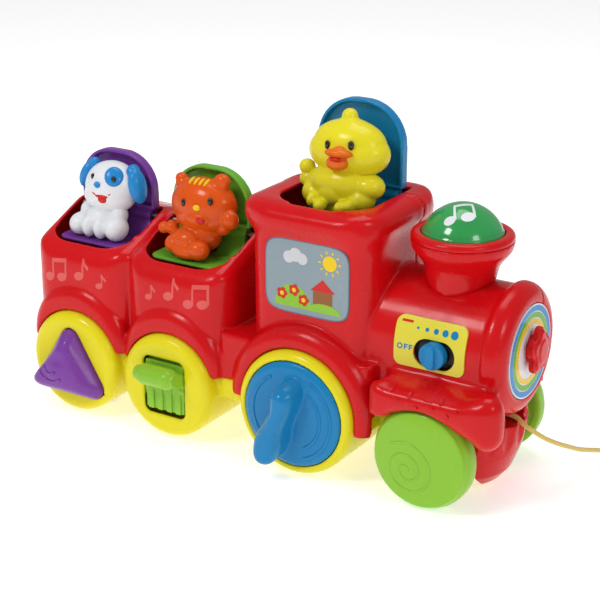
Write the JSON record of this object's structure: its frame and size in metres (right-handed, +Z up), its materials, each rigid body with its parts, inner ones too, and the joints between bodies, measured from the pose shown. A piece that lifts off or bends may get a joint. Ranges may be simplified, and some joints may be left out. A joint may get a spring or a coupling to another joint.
{
  "type": "pull-along pop-up toy train",
  "caption": "Moulded pull-along toy train with sprung pop-up animal lids in two carriages and a cab, a push button, flip lever, twist knob, dome button and pull cord",
  "frame": {"origin": "on the floor, under the middle of the train's box without its cord", "axes": "+X to the front of the train, +Z up, controls on the -Y side"},
  "size_m": [0.4405, 0.1814, 0.2319],
  "materials": {
    "red": "smooth moulded plastic, high gloss",
    "yellow": "smooth moulded plastic, high gloss",
    "purple": "smooth moulded plastic, high gloss",
    "green": "smooth moulded plastic, satin gloss",
    "blue": "smooth moulded plastic, high gloss",
    "white": "smooth painted plastic",
    "orange": "smooth painted plastic",
    "duck_yellow": "smooth painted plastic",
    "clear_green": "tinted translucent plastic",
    "print": "printed card under clear varnish",
    "label": "printed plastic film",
    "cord_yellow": "braided cord and matching trim",
    "steel": "bright drawn steel",
    "dark": "matt moulded plastic",
    "cell": "plain wrapped dry cell",
    "board": "laminate board"
  },
  "bodies": {
    "train": {"near_shell": "red", "far_shell": "red", "near_base": "yellow", "far_base": "yellow", "hinge_pins": "steel", "flap_springs": "steel", "button_spring": "steel", "lever_pin": "steel", "lever_spring": "steel", "chimney": "red", "chimney_rim": "red", "dome_spring": "steel", "lamp": "white", "window_panel": "print", "label_plate": "label", "switch_body": "dark", "front_cap": "print", "nose": "red", "cowcatcher": "red", "cord_eyelet": "cord_yellow", "pull_cord": "cord_yellow", "cord_bead": "cord_yellow", "battery_door": "yellow", "batteries": "cell", "door_screw": "steel", "case_screws": "steel", "circuit_board": "board", "speaker": "dark"},
    "purple_popup": {"purple_flap": "purple", "puppy": "white"},
    "green_popup": {"green_flap": "green", "kitten": "orange"},
    "blue_popup": {"blue_flap": "blue", "duckling": "duck_yellow"},
    "triangle": {"triangle_button": "purple"},
    "lever": {"flip_lever": "green"},
    "knob": {"twist_knob": "blue"},
    "dome": {"dome_button": "clear_green"},
    "switch": {"volume_switch": "blue"},
    "front_wheels": {"front_axle": "steel", "front_wheel_near": "green", "front_wheel_far": "green"},
    "rear_wheels": {"rear_axle": "steel", "rear_rollers": "dark"}
  },
  "joints": [
    {"name": "purple_lid", "type": "hinge", "parent": "train", "child": "purple_popup", "pos_m": [-0.1435, 0.00825, 0.134], "axis": [1, 0, 0], "range_deg": [0, 109], "stiffness_Nm_per_rad": 0.012},
    {"name": "green_lid", "type": "hinge", "parent": "train", "child": "green_popup", "pos_m": [-0.0635, 0.00825, 0.134], "axis": [1, 0, 0], "range_deg": [0, 109], "stiffness_Nm_per_rad": 0.012},
    {"name": "blue_lid", "type": "hinge", "parent": "train", "child": "blue_popup", "pos_m": [0.0385, 0.03125, 0.1715], "axis": [1, 0, 0], "range_deg": [0, 90], "stiffness_Nm_per_rad": 0.02},
    {"name": "triangle_press", "type": "slide", "parent": "train", "child": "triangle", "axis": [0, 1, 0], "range_m": [0, 0.005], "stiffness_N_per_m": 300, "deforming": ["button_spring"]},
    {"name": "lever_flip", "type": "hinge", "parent": "train", "child": "lever", "pos_m": [-0.0635, -0.01675, 0.038], "axis": [1, 0, 0], "range_deg": [0, 18], "stiffness_Nm_per_rad": 0.05},
    {"name": "knob_turn", "type": "hinge", "parent": "train", "child": "knob", "pos_m": [0.0385, -0.05375, 0.0435], "axis": [0, 1, 0], "range_deg": [-45, 45]},
    {"name": "dome_press", "type": "slide", "parent": "train", "child": "dome", "axis": [0, 0, -1], "range_m": [0, 0.003], "stiffness_N_per_m": 400, "deforming": ["dome_spring"]},
    {"name": "volume_slide", "type": "slide", "parent": "train", "child": "switch", "axis": [1, 0, 0], "range_m": [-0.005, 0.005]},
    {"name": "front_roll", "type": "hinge", "parent": "train", "child": "front_wheels", "pos_m": [0.1285, 0.00825, 0.0335], "axis": [0, 1, 0], "continuous": true},
    {"name": "rear_roll", "type": "hinge", "parent": "train", "child": "rear_wheels", "pos_m": [-0.1435, 0.00825, 0.009], "axis": [0, 1, 0], "continuous": true}
  ]
}
